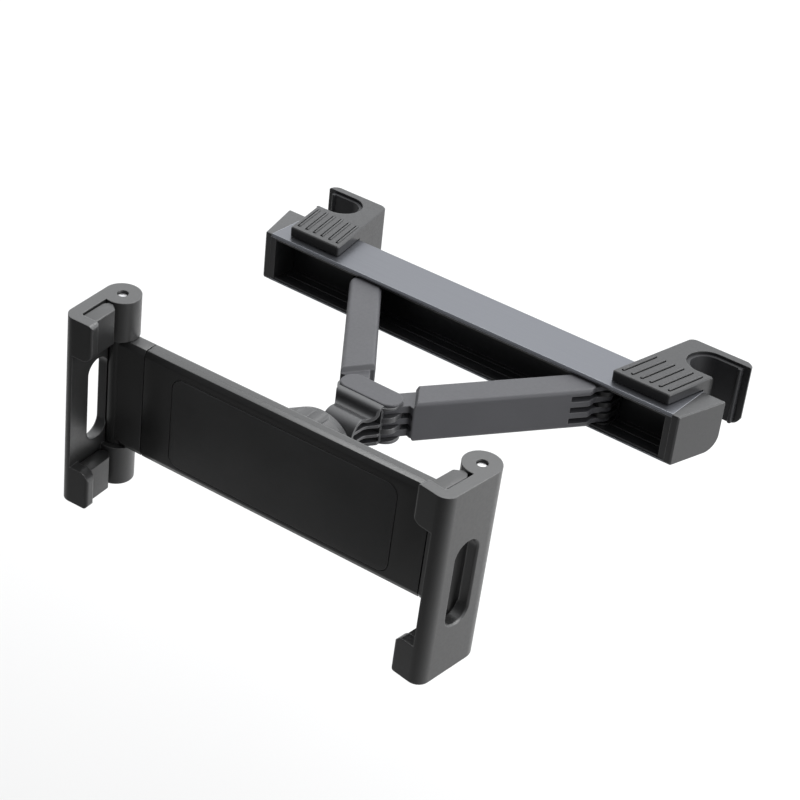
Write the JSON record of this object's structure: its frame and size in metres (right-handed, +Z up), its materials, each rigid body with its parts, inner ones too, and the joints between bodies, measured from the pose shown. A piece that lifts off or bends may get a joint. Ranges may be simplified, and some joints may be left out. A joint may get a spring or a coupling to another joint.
{
  "type": "headrest tablet mount",
  "caption": "Slotted rail with spring-loaded hooks for headrest poles, folding arms on sliding shoes and a clamp-nut ball joint carrying an extending tablet cradle with pivoting claws.",
  "frame": {"origin": "at the middle of the rail, level with its mid height and with the pole axes, which is midway between the two notches when both hooks are fully out", "axes": "+X along the rail to the right as seen from the tablet, +Y away from the tablet towards the front of the car, +Z up along the poles"},
  "size_m": [0.2134, 0.1951, 0.0878],
  "materials": {
    "anodised_rail": "satin anodised",
    "black_plastic": "fine matte texture",
    "graphite_plastic": "fine matte texture",
    "soft_pad": "soft matte rubber",
    "steel": "bright steel",
    "spring_steel": "plain spring wire",
    "seat_plastic": "natural low-friction plastic"
  },
  "bodies": {
    "rail": {"rail_shell": "anodised_rail", "rail_track": "black_plastic", "left_end_cap": "graphite_plastic", "right_end_cap": "graphite_plastic", "spring_stop": "black_plastic", "left_hook_spring": "spring_steel", "right_hook_spring": "spring_steel"},
    "left_hook_slider": {"left_hook": "graphite_plastic", "left_hook_liner": "soft_pad"},
    "right_hook_slider": {"right_hook": "graphite_plastic", "right_hook_liner": "soft_pad"},
    "left_runner": {"left_shoe": "black_plastic", "left_shoe_pin": "steel"},
    "left_link": {"left_arm": "graphite_plastic"},
    "hub_block": {"hub": "graphite_plastic", "hub_top_cap": "graphite_plastic", "hub_bottom_cap": "graphite_plastic", "left_hub_pin": "steel", "right_hub_pin": "steel", "ball_stud": "graphite_plastic"},
    "right_link": {"right_arm": "graphite_plastic"},
    "right_runner": {"right_shoe": "black_plastic", "right_shoe_pin": "steel"},
    "pan_shell": {"pan_seat": "seat_plastic"},
    "tilt_shell": {"tilt_seat": "seat_plastic"},
    "cradle": {"cradle_socket": "black_plastic", "flange_screws": "steel", "cradle_rear_housing": "graphite_plastic", "housing_screws": "steel", "cradle_front_cover": "graphite_plastic", "cradle_pad": "soft_pad"},
    "clamp_nut": {"ball_nut": "black_plastic"},
    "left_extension": {"left_jaw_slide": "graphite_plastic"},
    "right_extension": {"right_jaw_slide": "graphite_plastic"},
    "left_claw": {"left_jaw": "graphite_plastic", "left_jaw_pin": "steel", "left_upper_claw_pad": "soft_pad", "left_lower_claw_pad": "soft_pad"},
    "right_claw": {"right_jaw": "graphite_plastic", "right_jaw_pin": "steel", "right_upper_claw_pad": "soft_pad", "right_lower_claw_pad": "soft_pad"}
  },
  "joints": [
    {"name": "left_hook_slide", "type": "slide", "parent": "rail", "child": "left_hook_slider", "axis": [1, 0, 0], "range_m": [-0.0019, 0.0231], "stiffness_N_per_m": 120, "springref_m": -0.0319, "deforming": ["left_hook_spring"]},
    {"name": "right_hook_slide", "type": "slide", "parent": "rail", "child": "right_hook_slider", "axis": [-1, 0, 0], "range_m": [0, 0.025], "stiffness_N_per_m": 120, "springref_m": -0.03, "deforming": ["right_hook_spring"]},
    {"name": "sideways_slide", "type": "slide", "parent": "rail", "child": "left_runner", "axis": [1, 0, 0], "range_m": [-0.0372, 0.0248]},
    {"name": "fold", "type": "hinge", "parent": "left_runner", "child": "left_link", "pos_m": [-0.05143, -0.03005, 0], "axis": [0, 0, -1], "range_deg": [-10.9, 21.5]},
    {"name": "hub_left_hinge", "type": "hinge", "parent": "left_link", "child": "hub_block", "pos_m": [-0.0002, -0.10135, 0], "axis": [0, 0, -1], "range_deg": [-22, 13]},
    {"name": "hub_right_hinge", "type": "hinge", "parent": "hub_block", "child": "right_link", "pos_m": [0.0126, -0.10135, 0], "axis": [0, 0, -1], "range_deg": [-22, 13]},
    {"name": "right_runner_hinge", "type": "hinge", "parent": "right_link", "child": "right_runner", "pos_m": [0.06383, -0.03005, 0], "axis": [0, 0, -1], "range_deg": [-13, 22]},
    {"name": "pan", "type": "hinge", "parent": "hub_block", "child": "pan_shell", "pos_m": [0.0062, -0.13545, -0.0019], "axis": [0, 0, 1], "range_deg": [-22.5, 13.5]},
    {"name": "tilt", "type": "hinge", "parent": "pan_shell", "child": "tilt_shell", "pos_m": [0.0062, -0.13545, -0.0019], "axis": [0.9969, 0.0785, 0], "range_deg": [-20, 16]},
    {"name": "spin", "type": "hinge", "parent": "tilt_shell", "child": "cradle", "pos_m": [0.0062, -0.13545, -0.0019], "axis": [-0.0784, 0.9963, 0.0349], "continuous": true},
    {"name": "nut_turn", "type": "hinge", "parent": "cradle", "child": "clamp_nut", "pos_m": [0.0062, -0.13545, -0.0019], "axis": [-0.0784, 0.9963, 0.0349], "range_deg": [0, 270]},
    {"name": "left_extend", "type": "slide", "parent": "cradle", "child": "left_extension", "axis": [-0.9959, -0.0799, 0.0427], "range_m": [0, 0.03], "stiffness_N_per_m": 100, "springref_m": -0.04},
    {"name": "right_extend", "type": "slide", "parent": "cradle", "child": "right_extension", "axis": [0.9959, 0.0799, -0.0427], "range_m": [0, 0.03], "stiffness_N_per_m": 100, "springref_m": -0.04},
    {"name": "left_claw_hinge", "type": "hinge", "parent": "left_extension", "child": "left_claw", "pos_m": [-0.06781, -0.15643, 0.0008], "axis": [0.0454, -0.0314, 0.9985], "range_deg": [-1, 49]},
    {"name": "right_claw_hinge", "type": "hinge", "parent": "right_extension", "child": "right_claw", "pos_m": [0.08257, -0.14436, -0.00565], "axis": [-0.0454, 0.0314, -0.9985], "range_deg": [-10, 40]}
  ],
  "couplings": [
    {"joint": "hub_left_hinge", "follows": "fold", "ratio": -1},
    {"joint": "hub_right_hinge", "follows": "fold", "ratio": -1},
    {"joint": "right_runner_hinge", "follows": "fold", "ratio": 1}
  ]
}
